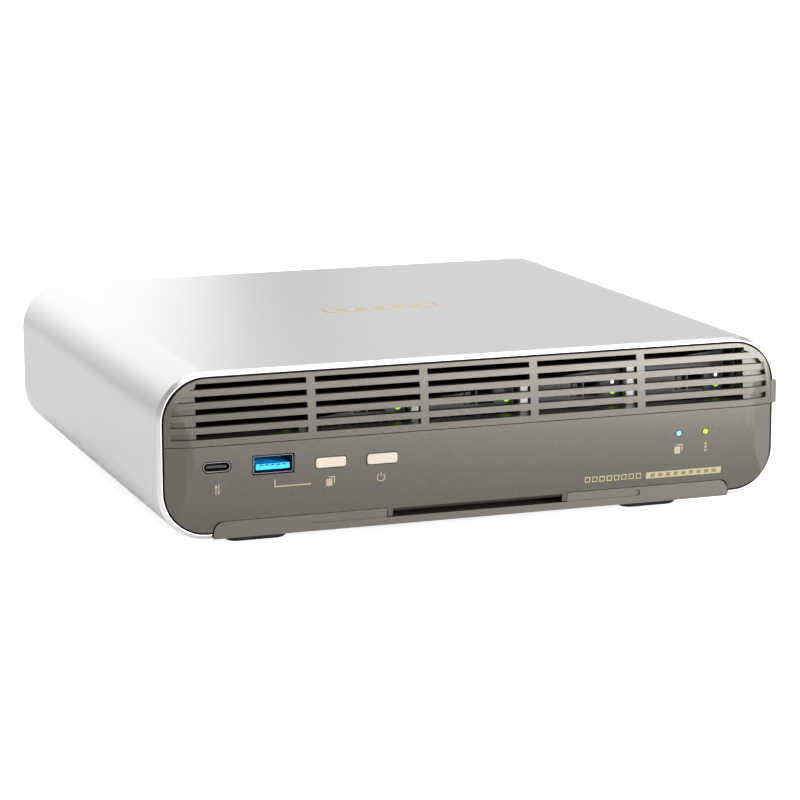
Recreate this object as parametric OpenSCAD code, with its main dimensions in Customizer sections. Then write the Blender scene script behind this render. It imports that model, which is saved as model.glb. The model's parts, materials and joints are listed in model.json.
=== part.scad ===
// Compact five-bay solid-state network storage box.
// Millimetres, +Z up. The front faces -Y and the rear sockets face +Y.
// Origin: centre of the footprint, on the plane that the feet stand on.
// The front bulges a little out of the shell's mouth, and its ends bend back to it.

/* [Case] */
// Overall width of the aluminium shell
case_w = 215; // [213:0.5:218]
// Depth of the aluminium shell, without the bulging front
case_d = 199; // [198:0.5:201]
// Overall height, from the floor to the top of the shell
case_h = 60; // [60:0.5:62]
// Outer corner radius of the shell
corner_r = 16; // [15.6:0.1:16.4]
// Wall thickness of the extruded shell
shell_t = 1.6; // [1.5:0.1:1.7]
// Chamfer cut round the front and rear edges of the shell
rim_chamfer = 1.2; // [0.6:0.1:1.3]
// Height of the rubber feet below the shell
foot_h = 6; // [5.8:0.1:6.2]

/* [Front] */
// Thickness of the lower fascia and the bay cover
panel_t = 2.2; // [2:0.1:2.4]
// How far the middle of the front bulges out of the shell
bulge = 2.2; // [1.9:0.1:2.4]
// Height of one air slot in the bay cover
slot_h = 1.85; // [1.6:0.05:2]
// Vertical distance from one air slot to the next
slot_pitch = 3.93; // [3.88:0.01:3.95]
// Width of the posts between the air slots of two bays
post_w = 2.8; // [2.4:0.1:3.2]

/* [Drive bays] */
// Distance from one drive bay to the next
bay_pitch = 38.05; // [37.9:0.05:38.15]
// Length of a tray behind its front plate
tray_len = 116; // [112:1:117]
// Length of the solid-state drive's circuit board
ssd_len = 111; // [105:1:112]

/* [Hidden] */
$fn = 64;

gap = 0.2;                            // clearance between neighbouring housings
slack = 0.1;                          // clearance between stacked parts
groove = 0.6;                         // open groove between the shell and the front

// Colours
TAUPE = [0.45, 0.43, 0.40];
SILVER = [0.88, 0.88, 0.88];
STEEL = [0.72, 0.73, 0.74];
RUBBER = [0.12, 0.12, 0.12];
CHARCOAL = [0.17, 0.17, 0.18];
BOARD = [0.06, 0.20, 0.14];
CHAMPAGNE = [0.84, 0.77, 0.70];

// Planes of the case
button_out = 0.35;                    // how far the buttons stand out
front_y = -(case_d + bulge + button_out) / 2;
face_y = front_y + button_out;        // foremost line of the bulging front
rim_y = face_y + bulge;               // front edge of the shell
lip_y = rim_y - 0.5;                  // front of the bottom lip
rear_y = -front_y;                    // rear edge of the shell
shell_z = foot_h;                     // underside of the shell
shell_hgt = case_h - foot_h;
in_r = corner_r - shell_t;            // inner corner radius of the shell
panel_w = case_w - 2 * (shell_t + groove);
panel_z0 = shell_z + shell_t + groove;
panel_z1 = case_h - shell_t - groove;
panel_r = in_r - groove;

// Bulge of the front: an upright arc, and ends that bend back
mid_z = (panel_z0 + panel_z1) / 2;
bow_h = (panel_z1 - panel_z0) / 2;
bow_r = (bow_h * bow_h + bulge * bulge) / (2 * bulge);
bend_a = 15;
bend_r = 15;
bend_run = bend_r * sin(bend_a) + (bulge - bend_r * (1 - cos(bend_a))) / tan(bend_a);

// Front layout, measured from the shell's underside
seam_z = shell_z + 30.48;             // joint between the fascia and the bay cover
slot0_z = shell_z + 33.68;            // middle of the lowest air slot
slot_rows = 5;
bays = 5;
vent_x = 2.5 * bay_pitch - 0.2;       // outer end of the open air slots
blank_edge = 2.0;                     // margin round the shallow blank slots
blank_deep = 1.6;
cover_back = rim_y + 5.2;             // rear of the bay cover's cheeks and shelf
magnet_x = 100.5;

// Bottom cover and lip
plate_t = 2;
gap_w = 180.2;                        // opening in the shell's underside
lip_w = 179.2;
lip_h = 5.5;
lip_t = 2.6;
grip_x0 = 31.5;                       // grip recesses in the lip, either side of the notch
grip_x1 = 57.5;
grip_half = 1.1;
grip_z = shell_z + 3.6;
lip_r = 3.5;
rail_y = 92;
notch_w = 63;                         // notch in the lip for the intake slot
notch_z = shell_z + 2.45;
slot_top = shell_z + 4.2;                // upper edge of the intake slot, above its chamfer
slot_chamfer = 1.1;
intake_w = 59.2;
rail_x0 = 86;
rail_x1 = 92.5;
rail_h = 1.2;

// Feet
foot_x = 69.7;
foot_y = 70.2;
foot_size = 21.4;
foot_r = 4.5;
foot_sunk = 0.8;                      // depth of the pocket that holds a foot

// Finger tab of the bay cover, in a notch in the right wall
tab_z0 = shell_z + 30.7;
tab_z1 = shell_z + 38.3;
tab_len = 11.5;

// Front sockets and controls: [x, z above the shell's underside]
usb_c_at = [-88.8, shell_z + 23.7];
usb_a_at = [-70.2, shell_z + 23.3];
copy_at = [-51.1, shell_z + 22.5];
power_at = [-33.8, shell_z + 22.5];
led_copy_at = [70.7, shell_z + 23];
led_status_at = [80.5, shell_z + 23];
usb_c_size = [9.0, 3.2];
usb_a_size = [13.3, 5.8];
button_size = [10.3, 3.4];
button_r = 0.9;
button_fit = 0.25;                    // gap between a button and its opening
led_r = 1.15;
mouth_y = face_y + 0.3;               // mouths of the front sockets

// Boards
board_t = 1.6;
io_z = usb_a_at[1] - usb_a_size[1] / 2 - board_t - slack;
main_z = shell_z + 8;                 // underside of the mainboard
main_top = main_z + board_t;
main_x = 95;
main_y0 = -93;
main_y1 = 95;

// Drive cage
cage_t = 0.8;
cage_z0 = shell_z + 32.2;
cage_z1 = shell_z + 50.6;
cage_x = 95.3;                        // inner face of the cage's side walls
cage_y0 = rim_y + 7.6;
hem_w = 2.7;                          // folded front edge of a divider
hem_len = 3.3;
divider_t = 1.2;
leg_y = [-62, 12];                    // front edges of the cage's legs
leg_len = 12;
leg_t = 1;

// Trays
tray_z0 = cage_z0 + cage_t + 0.3;
tray_z1 = cage_z1 - cage_t - 0.4;
tray_face_w = 34.6;
tray_w = 34.2;
tray_face_t = 2.6;
tray_front = rim_y + 12.4;             // front of a tray's plate
tray_face_y = tray_front + tray_face_t;
tray_wall = 1.2;
grip_r = 2.2;
light_x = 14.7;                       // column of lights at the right of a tray
light_low = 2.8;
light_high = 5.8;
light_low_r = 1.3;
light_high_r = 0.85;
light_fit = 0.1;                      // clearance round a light guide
latch_x = [-0.2, 1.9];                // release latch, in an opening that is wider to its right
latch_open = [-0.4, 3.8];
window_x = [4.4, 9.9];
pad_x = [10.2, 12.2];                 // raised pad between the window and the lights
window_z = [1.5, 6.4];
ssd_w = 31.5;
ssd_y0 = tray_face_y + 5;
ssd_end = ssd_y0 + ssd_len;           // tip of the edge connector tongue
ssd_z = tray_z0 + 5.2;                // underside of the drive's board
board_y = ssd_end + 1.2;              // front face of the backplane

// Rear
rear_t = 1.5;
rear_face = rear_y - 1.5;             // outer face of the rear panel
socket_y = rear_face + 0.2;           // mouths of the rear sockets
jack_x = [-40, -20];
jack_size = [16, 13.4, 21];
hdmi_x = 2;
usb_c_rear_x = 21;
usb_rear_x = [40, 60];
dc_x = 83;
reset_at = [-62, 21];
lock_at = [94, 46];
boss_r = 6.4;                         // screw bosses on the shell's inner faces
boss_len = 7;
screw_r = 1.45;
rear_screw_at = [[-99.8, 26], [99.8, 26], [-97, 50], [0, 52]];

// Blowers
blower_x = 42;
blower_y = 67;
blower_z0 = shell_z + 34.5;
blower_z1 = shell_z + 49.5;
blower_size = [52, 50];
wheel_r = 20;
blade_count = 19;
post_at = [[-65.2, 44.8], [-18.8, 44.8], [18.8, 44.8], [65.2, 44.8]];

function bay_x(n) = (n - (bays + 1) / 2) * bay_pitch;
function arc(cx, cy, r, a0, a1, steps) =
    [for (i = [0:steps]) let (a = a0 + (a1 - a0) * i / steps) [cx + r * cos(a), cy + r * sin(a)]];

// ---------- shared shapes ----------

// Rectangle from [x0, z0] to [x1, z1] with round corners, in the XY plane
module round_rect(x0, z0, x1, z1, r) {
    translate([x0 + r, z0]) square([x1 - x0 - 2 * r, z1 - z0]);
    translate([x0, z0 + r]) square([x1 - x0, z1 - z0 - 2 * r]);
    for (x = [x0 + r, x1 - r], z = [z0 + r, z1 - r])
        translate([x, z]) circle(r = r);
}

// Stands a drawing in X and Z up, and thickens it from y0 to y1
module stand(y0, y1) {
    translate([0, y1, 0]) rotate([90, 0, 0]) linear_extrude(y1 - y0) children();
}

// Block between two corners
module block(a, b) {
    translate(a) cube([b[0] - a[0], b[1] - a[1], b[2] - a[2]]);
}

// Cylinder along Y from y0 to y1
module rod_y(x, z, r, y0, y1) {
    translate([x, y1, z]) rotate([90, 0, 0]) cylinder(r = r, h = y1 - y0);
}

// Flat-ended slot shape, round at both ends
module stadium(at, size) {
    round_rect(at[0] - size[0] / 2, at[1] - size[1] / 2,
               at[0] + size[0] / 2, at[1] + size[1] / 2, size[1] / 2 - 0.001);
}

module centred_rect(at, size, r) {
    round_rect(at[0] - size[0] / 2, at[1] - size[1] / 2,
               at[0] + size[0] / 2, at[1] + size[1] / 2, r);
}

// Chamfered end of the shell's outline: it narrows by c from y = c to y = 0
module chamfer_layer(c) {
    hw = case_w / 2;
    hh = shell_hgt / 2;
    cut_x = hw - corner_r;
    cut_z = hh - corner_r;
    translate([-cut_x, 0, 0]) rotate([90, 0, 90])
        linear_extrude(2 * cut_x)
            polygon([[0, -hh + c], [c, -hh], [c, hh], [0, hh - c]]);
    translate([0, 0, -cut_z])
        linear_extrude(2 * cut_z)
            polygon([[-hw + c, 0], [-hw, c], [hw, c], [hw - c, 0]]);
    for (x = [-cut_x, cut_x], z = [-cut_z, cut_z])
        translate([x, c, z]) rotate([90, 0, 0])
            cylinder(r1 = corner_r, r2 = corner_r - c, h = c);
}

// Solid behind the bulging front surface, sunk by inset, as far back as y1
module front_body(inset, y1) {
    half = panel_w / 2;
    start = half - bend_run;
    right = arc(start, face_y + bend_r, bend_r, -90, -90 + bend_a, 3);
    left = [for (i = [len(right) - 1:-1:0]) [-right[i][0], right[i][1]]];
    reach = 2;                            // continues the bend past the panel's end
    end_y = face_y + bulge + reach * tan(bend_a);
    outline = concat([[-half - reach, end_y]], left, right,
                     [[half + reach, end_y], [half + reach, y1], [-half - reach, y1]]);
    intersection() {
        translate([0, inset, panel_z0 - 1]) linear_extrude(panel_z1 - panel_z0 + 2) polygon(outline);
        translate([-case_w / 2, face_y + bow_r, mid_z]) rotate([0, 90, 0])
            cylinder(r = bow_r - inset, h = case_w);
        block([-case_w / 2, front_y, panel_z0 - 1], [case_w / 2, y1, panel_z1 + 1]);
    }
}

// Skin of the bulging front between two heights
module front_skin(z0, z1) {
    y1 = rim_y + panel_t + 0.6;
    intersection() {
        difference() {
            front_body(0, y1);
            front_body(panel_t, y1 + 1);
        }
        block([-case_w / 2, front_y, z0], [case_w / 2, y1 + 2, z1]);
    }
}

module panel_outline() {
    round_rect(-panel_w / 2, panel_z0, panel_w / 2, panel_z1, panel_r);
}

// ---------- case ----------

module outer_shell() {
    boss_y = rear_face - rear_t - 0.05;
    color(SILVER) {
        shell_walls();
        // bosses that take the rear panel's screws
        for (at = rear_screw_at) difference() {
            rod_y(at[0], at[1], boss_r, boss_y - boss_len, boss_y);
            rod_y(at[0], at[1], screw_r + 0.05, boss_y - boss_len - 1, boss_y + 1);
        }
    }
}

module shell_walls() {
    difference() {
        union() {
            stand(rim_y + rim_chamfer, rear_y - rim_chamfer)
                round_rect(-case_w / 2, shell_z, case_w / 2, case_h, corner_r);
            translate([0, rim_y, shell_z + shell_hgt / 2]) chamfer_layer(rim_chamfer);
            translate([0, rear_y, shell_z + shell_hgt / 2]) mirror([0, 1, 0]) chamfer_layer(rim_chamfer);
        }
        stand(rim_y - 1, rear_y + 1)
            round_rect(-case_w / 2 + shell_t, shell_z + shell_t,
                       case_w / 2 - shell_t, case_h - shell_t, in_r);
        block([-gap_w / 2, rim_y - 1, shell_z - 1], [gap_w / 2, rear_y + 1, shell_z + shell_t + 1]);
        block([case_w / 2 - shell_t - 1, rim_y - 1, tab_z0 - gap],
              [case_w / 2 + 1, rim_y + tab_len + 0.6, tab_z1 + gap]);
    }
}

module lip_outline() {
    difference() {
        round_rect(-lip_w / 2, shell_z - lip_h, lip_w / 2, shell_z + lip_h, lip_r);
        translate([-lip_w, shell_z - 2 * lip_h]) square([2 * lip_w, 2 * lip_h]);
        translate([-notch_w / 2, notch_z]) square([notch_w, lip_h]);
    }
}

module bottom_cover() {
    vent_rows = 9;
    vent_len = 40;
    color(TAUPE) difference() {
        union() {
            block([-lip_w / 2 + 0.1, lip_y + 1, shell_z],
                  [lip_w / 2 - 0.1, rear_y, shell_z + plate_t]);
            stand(lip_y, lip_y + lip_t) lip_outline();
            for (s = [-1, 1])
                block([min(s * rail_x0, s * rail_x1), -rail_y, shell_z + plate_t - 0.5],
                      [max(s * rail_x0, s * rail_x1), rail_y, shell_z + plate_t + rail_h]);
        }
        // the rails start above the shell's own lips
        for (s = [-1, 1])
            block([min(s * (lip_w / 2 - 0.1), s * 95), -93, shell_z - 1],
                  [max(s * (lip_w / 2 - 0.1), s * 95), 95, shell_z + plate_t]);
        // shallow grip recesses in the lip
        for (s = [-1, 1])
            stand(lip_y - 1, lip_y + 0.4) {
                translate([s * grip_x1 - s * grip_half, grip_z]) circle(r = grip_half);
                translate([min(s * (grip_x0 - 1), s * (grip_x1 - grip_half)), grip_z - grip_half])
                    square([grip_x1 - grip_half - grip_x0 + 1, 2 * grip_half]);
            }
        // air vents under the mainboard
        for (i = [0:vent_rows - 1], x = [-46, 46])
            stand_down(shell_z - 1, shell_z + plate_t + 1)
                centred_rect([x, -32 + 8 * i], [vent_len, 2.4], 1.19);
        // pockets for the feet
        for (x = [-foot_x, foot_x], y = [-foot_y, foot_y])
            stand_down(shell_z - 1, shell_z + foot_sunk)
                centred_rect([x, y], [foot_size + 0.4, foot_size + 0.4], foot_r + 0.2);
    }
}

// Thickens a drawing in X and Y from z0 to z1
module stand_down(z0, z1) {
    translate([0, 0, z0]) linear_extrude(z1 - z0) children();
}

module rubber_feet() {
    chamfer = 1;
    half = foot_size / 2;
    color(RUBBER)
        for (x = [-foot_x, foot_x], y = [-foot_y, foot_y])
            translate([x, y, 0]) {
                stand_down(chamfer, foot_h + foot_sunk) round_rect(-half, -half, half, half, foot_r);
                foot_toe(half, chamfer);
            }
}

// Bevelled sole of a foot
module foot_toe(half, c) {
    cut = half - foot_r;
    translate([-cut, 0, 0]) rotate([90, 0, 90]) linear_extrude(2 * cut)
        polygon([[-half + c, 0], [half - c, 0], [half, c], [-half, c]]);
    translate([0, cut, 0]) rotate([90, 0, 0]) linear_extrude(2 * cut)
        polygon([[-half + c, 0], [half - c, 0], [half, c], [-half, c]]);
    for (x = [-cut, cut], y = [-cut, cut])
        translate([x, y, 0]) cylinder(r1 = foot_r - c, r2 = foot_r, h = c);
}

module front_fascia() {
    lip_top = shell_z + lip_h + gap;
    color(TAUPE) difference() {
        union() {
            intersection() {
                front_skin(panel_z0 - 1, seam_z - slack);
                stand(front_y - 1, rim_y + 6) panel_outline();
            }
            // stiffening flange along the seam, behind the face
            block([-92, face_y + panel_t - 0.2, seam_z - 3.6], [92, face_y + panel_t + 3, seam_z - 2.4]);
        }
        // room for the lip, apart from the posts that frame the intake slot
        difference() {
            stand(front_y - 1, rim_y + 8)
                round_rect(-lip_w / 2 - gap, shell_z - 4, lip_w / 2 + gap, lip_top, lip_r - 0.6);
            for (s = [-1, 1])
                block([min(s * intake_w / 2, s * (notch_w / 2 - gap)), front_y - 1, notch_z + gap],
                      [max(s * intake_w / 2, s * (notch_w / 2 - gap)), rim_y + 9, lip_top + 1]);
            block([gap - notch_w / 2, front_y - 1, slot_top], [notch_w / 2 - gap, rim_y + 9, lip_top + 1]);
        }
        // bevel along the upper edge of the intake slot
        translate([-intake_w / 2, lip_y, slot_top]) rotate([90, 0, 90]) linear_extrude(intake_w)
            polygon([[-1, -1], [slot_chamfer + 1, -1], [-1, slot_chamfer + 1]]);
        stand(front_y - 1, rim_y + 6) {
            stadium(usb_c_at, usb_c_size + [0.6, 0.6]);
            centred_rect(usb_a_at, usb_a_size + [0.7, 0.7], 0.5);
            centred_rect(copy_at, button_size + [2, 2] * button_fit, button_r + button_fit);
            centred_rect(power_at, button_size + [2, 2] * button_fit, button_r + button_fit);
        }
        rod_y(led_copy_at[0], led_copy_at[1], led_r + slack, front_y - 1, rim_y + 6);
        rod_y(led_status_at[0], led_status_at[1], led_r + slack, front_y - 1, rim_y + 6);
    }
}

// Black steel frame round the cage's mouth, which the bay cover's magnets hold onto
module front_frame() {
    edge = cage_x + cage_t + gap;
    color(RUBBER) difference() {
        stand(cover_back + 0.2, cover_back + 2.6) intersection() {
            panel_outline();
            translate([-panel_w / 2, seam_z + 0.4]) square([panel_w, shell_hgt]);
        }
        block([-edge, cover_back - 1, cage_z0 - gap], [edge, cover_back + 4, cage_z1 + gap]);
    }
}

// ---------- front electronics ----------

module front_io_boards() {
    color(BOARD) {
        block([-97, face_y + 4.3, io_z], [-25, rim_y + 25, io_z + board_t]);
        block([65, face_y + 4.3, io_z], [88, rim_y + 18, io_z + board_t]);
    }
}

// Folded metal sleeve of a socket: front opening towards side s of Y (-1 front, 1 rear)
module sleeve(at, size, r, mouth, depth, s) {
    wall = 0.3;
    y0 = min(mouth, mouth - s * depth);
    y1 = max(mouth, mouth - s * depth);
    difference() {
        stand(y0, y1) centred_rect(at, size, r);
        stand(s < 0 ? y0 - 1 : y0 + wall, s < 0 ? y1 - wall : y1 + 1)
            centred_rect(at, size - [2, 2] * wall, max(r - wall, 0.1));
    }
}

module usb_c_front() {
    color(STEEL) sleeve(usb_c_at, usb_c_size, usb_c_size[1] / 2 - 0.001, mouth_y, 8.6, -1);
}

module usb_a_front() {
    color(STEEL) sleeve(usb_a_at, usb_a_size, 0.6, mouth_y, 14, -1);
}

module usb_a_tongue() {
    color([0.1, 0.45, 0.85]) {
        stand(mouth_y + 0.7, mouth_y + 13) centred_rect(usb_a_at + [0, -0.85], [11.2, 1.9], 0.2);
        block([usb_a_at[0] - 6, mouth_y + 12, usb_a_at[1] - 2.3],
              [usb_a_at[0] + 6, mouth_y + 13.3, usb_a_at[1] + 2.3]);
    }
}

// The switches stand clear of the pressed buttons
module tact_switches() {
    color(STEEL)
        for (at = [copy_at, power_at])
            block([at[0] - 3, face_y + 7.4, io_z + board_t + slack],
                  [at[0] + 3, face_y + 11, at[1] + 2.2]);
}

module button(at) {
    color(CHAMPAGNE) {
        stand(front_y, face_y + panel_t + 0.9) centred_rect(at, button_size, button_r);
        stand(face_y + panel_t + 0.2, face_y + panel_t + 1.2)
            centred_rect(at, button_size + [1.6, 1.2], button_r);
        rod_y(at[0], at[1], 1.4, face_y + panel_t + 1, face_y + 6.5);
    }
}

module light_pipe(at, tint) {
    color(tint) {
        rod_y(at[0], at[1], led_r, face_y + 0.05, face_y + 7);
        block([at[0] - led_r, face_y + 5, io_z + board_t + 0.8], [at[0] + led_r, face_y + 7, at[1]]);
    }
}

module front_ribbon() {
    t = 0.3;
    y0 = rim_y + 20;
    y1 = rim_y + 32;
    z1 = io_z - slack;
    z0 = main_top + 0.1;
    color([0.85, 0.85, 0.82]) translate([-60, 0, 0]) rotate([90, 0, 90]) linear_extrude(16)
        polygon([[y0, z1 - t], [y1, z1 - t], [y1, z0], [y1 + 8, z0], [y1 + 8, z0 + t],
                 [y1 + t, z0 + t], [y1 + t, z1], [y0, z1]]);
}

// ---------- bay cover ----------

module bay_cover() {
    shelf_z = slot0_z - slot_h / 2 - 0.2;
    color(TAUPE) difference() {
        union() {
            intersection() {
                union() {
                    front_skin(seam_z + slack, panel_z1 + 1);
                    // side cheeks behind the blank slots
                    for (s = [-1, 1])
                        block([min(s * vent_x, s * panel_w / 2), face_y + panel_t, seam_z + slack],
                              [max(s * vent_x, s * panel_w / 2), cover_back, panel_z1 + 1]);
                    // stiffening shelf below the lowest slots
                    block([-panel_w / 2, face_y + panel_t - 0.4, shelf_z - 1.2],
                          [panel_w / 2, cover_back, shelf_z]);
                }
                front_body(0, rim_y + 9);
                stand(front_y - 1, rim_y + 9) panel_outline();
            }
            // finger tab in the shell's notch, with its root
            block([panel_w / 2 - 1.5, rim_y + 1.6, tab_z0], [case_w / 2, cover_back, tab_z1]);
            block([panel_w / 2 + 0.1, rim_y + 0.1, tab_z0], [case_w / 2, rim_y + tab_len, tab_z1]);
        }
        // open air slots, five rows in each bay
        for (row = [0:slot_rows - 1], n = [1:bays])
            block([n == 1 ? -vent_x : bay_x(n) - (bay_pitch - post_w) / 2,
                   front_y - 1, slot0_z + row * slot_pitch - slot_h / 2],
                  [n == bays ? vent_x : bay_x(n) + (bay_pitch - post_w) / 2,
                   cover_back + 1, slot0_z + row * slot_pitch + slot_h / 2]);
        blank_slots();
        for (x = [-magnet_x, magnet_x])
            block([x - 2.1, cover_back - 1.6, seam_z + 7.9], [x + 2.1, cover_back + 1, seam_z + 14.1]);
    }
}

// Shallow blank slots beyond the open ones, following the round corners
module blank_slots() {
    intersection() {
        for (row = [0:slot_rows - 1], s = [-1, 1]) {
            z = slot0_z + row * slot_pitch;
            block([min(s * (vent_x - 0.1), s * panel_w / 2), front_y - 1, z - slot_h / 2],
                  [max(s * (vent_x - 0.1), s * panel_w / 2), rim_y + panel_t + 2, z + slot_h / 2]);
        }
        stand(front_y - 1, rim_y + 9)
            round_rect(blank_edge - panel_w / 2, panel_z0 + blank_edge,
                       panel_w / 2 - blank_edge, panel_z1 - blank_edge, panel_r - blank_edge);
        difference() {
            block([-panel_w / 2, front_y - 1, seam_z], [panel_w / 2, rim_y + blank_deep, case_h]);
            front_body(blank_deep, rim_y + 9);
        }
    }
}

module cover_magnets() {
    y1 = cover_back - 0.05;
    color(STEEL) for (x = [-magnet_x, magnet_x])
        block([x - 2, y1 - 1.5, seam_z + 8], [x + 2, y1, seam_z + 14]);
}

// ---------- drive cage, trays and drives ----------

module ssd_cage() {
    x1 = cage_x + cage_t;
    y1 = board_y - gap;
    leg_z = shell_z + plate_t + rail_h;
    color(STEEL) difference() {
        union() {
            block([-x1, cage_y0 + hem_len, cage_z0], [x1, y1, cage_z0 + cage_t]);
            block([-x1, cage_y0 + hem_len, cage_z1 - cage_t], [x1, y1, cage_z1]);
            for (s = [-1, 1])
                block([min(s * cage_x, s * x1), cage_y0 + 0.8, cage_z0],
                      [max(s * cage_x, s * x1), y1, cage_z1]);
            for (s = [-1, 1], y = leg_y) {
                block([min(s * (x1 - 0.1), s * (x1 + leg_t)), y, leg_z],
                      [max(s * (x1 - 0.1), s * (x1 + leg_t)), y + leg_len, cage_z0 + 8]);
                block([min(s * (rail_x0 + 1), s * (x1 + leg_t)), y, leg_z],
                      [max(s * (rail_x0 + 1), s * (x1 + leg_t)), y + leg_len, leg_z + leg_t]);
            }
        }
        // air windows in the floor
        for (n = [1:bays], y = [-70, -38, -6])
            block([bay_x(n) - 12, y, cage_z0 - 1], [bay_x(n) + 12, y + 22, cage_z0 + cage_t + 0.1]);
        // screw holes in the legs' feet
        for (s = [-1, 1], y = leg_y)
            translate([s * 89.5, y + leg_len / 2, leg_z - 1]) cylinder(r = 1.7, h = 4);
    }
}

// Walls between the bays, each with a folded front edge
module cage_dividers() {
    z0 = cage_z0 + cage_t;
    z1 = cage_z1 - cage_t;
    color(STEEL) for (n = [1:bays - 1]) {
        x = bay_x(n) + bay_pitch / 2;
        block([x - divider_t / 2, cage_y0 + 1, z0], [x + divider_t / 2, board_y - 8, z1]);
        block([x - hem_w / 2, cage_y0, z0 - cage_t], [x + hem_w / 2, cage_y0 + hem_len, z1 + cage_t]);
    }
}

module tray(n) {
    x = bay_x(n);
    half = tray_face_w / 2;
    grip_x = half - 2.6;
    back = tray_face_y + tray_len;
    color(CHARCOAL) difference() {
        union() {
            // front plate
            stand(tray_front, tray_face_y) round_rect(x - half, tray_z0, x + half, tray_z1, 0.8);
            // two half-round finger ribs across the upper half
            intersection() {
                for (z = [tray_z1 - 2.6, tray_z1 - 7])
                    translate([x - grip_x, tray_front + 0.9, z]) rotate([0, 90, 0])
                        cylinder(r = grip_r, h = 2 * grip_x - 3);
                block([x - half, tray_front - 3, tray_z0], [x + half, tray_front + 1, tray_z1]);
            }
            // raised pad between the window and the lights
            block([x + pad_x[0], tray_front - 0.4, tray_z0 + 1], [x + pad_x[1], tray_front + 0.5, tray_z0 + 7]);
            // floor and side walls
            block([x - tray_w / 2, tray_face_y - 0.2, tray_z0], [x + tray_w / 2, back, tray_z0 + tray_wall]);
            for (s = [-1, 1])
                block([x + min(s * tray_w / 2, s * (tray_w / 2 - tray_wall)), tray_face_y - 0.2, tray_z0],
                      [x + max(s * tray_w / 2, s * (tray_w / 2 - tray_wall)), back, tray_z0 + 9.5]);
            // posts under the drive's board
            for (y = [tray_face_y + 12, back - 24])
                block([x - 6, y, tray_z0], [x + 6, y + 6, ssd_z]);
        }
        // window and latch opening in the lower half of the plate
        for (w = [latch_open, window_x])
            block([x + w[0], tray_front - 1, tray_z0 + window_z[0]],
                  [x + w[1], tray_face_y + 1, tray_z0 + window_z[1]]);
        // holes for the light guides
        for (hole = [[light_low, light_low_r], [light_high, light_high_r]])
            rod_y(x + light_x, tray_z0 + hole[0], hole[1] + light_fit, tray_front - 1, tray_face_y + 2.3);
        // lightening windows in the floor
        for (i = [0:2])
            block([x - 11, tray_face_y + 22 + 23 * i, tray_z0 - 1],
                  [x + 11, tray_face_y + 40 + 23 * i, tray_z0 + tray_wall + 0.01]);
    }
}

module tray_latch(n) {
    x = bay_x(n);
    z0 = tray_z0 + window_z[0] + 0.2;
    z1 = tray_z0 + window_z[1] - 0.2;
    color([0.3, 0.3, 0.32]) {
        block([x + latch_x[0], tray_front - 0.4, z0], [x + latch_x[1], tray_face_y + 1.2, z1]);
        block([x + latch_x[0] - 1.6, tray_face_y + 0.2, z0], [x + latch_x[1], tray_face_y + 1.2, z1]);
    }
}

module ssd(n) {
    x = bay_x(n);
    top = ssd_z + board_t;
    color(BOARD) {
        block([x - ssd_w / 2, ssd_y0, ssd_z], [x + ssd_w / 2, ssd_end - 6, top]);
        // edge connector tongue
        block([x - 10, ssd_end - 7, ssd_z], [x + 10, ssd_end, top]);
        // memory packages, under the finned heat spreader
        for (i = [0:3])
            block([x - 7, ssd_y0 + 6 + 24 * i, top - 0.1], [x + 7, ssd_y0 + 24 + 24 * i, top + 1.3]);
        // heat spreader with fins
        block([x - ssd_w / 2 + 1, ssd_y0 + 2, top + 1.2], [x + ssd_w / 2 - 1, ssd_end - 10, top + 2.4]);
        for (i = [-6:6])
            block([x + 2.2 * i - 0.35, ssd_y0 + 2, top + 2.3],
                  [x + 2.2 * i + 0.35, ssd_end - 10, tray_z1 - 0.6]);
    }
}

module tray_lights(n) {
    x = bay_x(n);
    color([0.55, 0.9, 0.2]) {
        rod_y(x + light_x, tray_z0 + light_low, light_low_r, tray_front - 0.15, tray_face_y + 2);
        rod_y(x + light_x, tray_z0 + light_high, light_high_r, tray_front + 0.1, tray_face_y + 2);
    }
}

module backplane_board() {
    color(BOARD) difference() {
        block([-94, board_y, main_top + 12], [94, board_y + board_t, cage_z1 - 0.6]);
        for (x = [-76, -38, 38, 76])
            block([x - 10, board_y - 1, main_top + 14], [x + 10, board_y + 3, main_top + 20]);
    }
}

module drive_connectors() {
    z = ssd_z + board_t / 2;
    y0 = board_y - 6.4;
    color(RUBBER) for (n = [1:bays]) difference() {
        block([bay_x(n) - 13, y0, z - 2.8], [bay_x(n) + 13, board_y, z + 2.8]);
        block([bay_x(n) - 10.3, y0 - 1, z - board_t / 2 - 0.3],
              [bay_x(n) + 10.3, y0 + 5.6, z + board_t / 2 + 0.3]);
    }
}

// ---------- mainboard and cooling ----------

module mainboard() {
    color(BOARD) difference() {
        block([-main_x, main_y0, main_z], [main_x, main_y1, main_top]);
        for (at = standoff_at) translate([at[0], at[1], main_z - 1]) cylinder(r = 1.6, h = 4);
        // clearance round the cage's legs
        for (s = [-1, 1], y = leg_y)
            block([min(s * 86, s * 99), y - 1, main_z - 1], [max(s * 86, s * 99), y + leg_len + 1, main_top + 1]);
    }
}
standoff_at = [[-80, -86], [80, -86], [-80, 10], [80, 10], [-80, 88], [75, 60]];

module standoffs() {
    color([0.80, 0.68, 0.35]) {
        for (at = standoff_at) translate([at[0], at[1], 0]) {
            translate([0, 0, shell_z + plate_t]) cylinder(r = 2.6, h = main_z - shell_z - plate_t, $fn = 6);
            translate([0, 0, main_z - 0.2]) cylinder(r = 1.5, h = board_t + 0.3);
            translate([0, 0, main_top]) cylinder(r = 2.9, h = 1.7);
        }
        // posts under the front boards and the blowers
        for (at = [[-92, -80], [-30, -80], [72, -86]])
            translate([at[0], at[1], main_top]) cylinder(r = 2.4, h = io_z - main_top, $fn = 6);
        for (at = post_at)
            translate([at[0], at[1], main_top]) cylinder(r = 2.4, h = blower_z0 - main_top, $fn = 6);
    }
}

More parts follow.
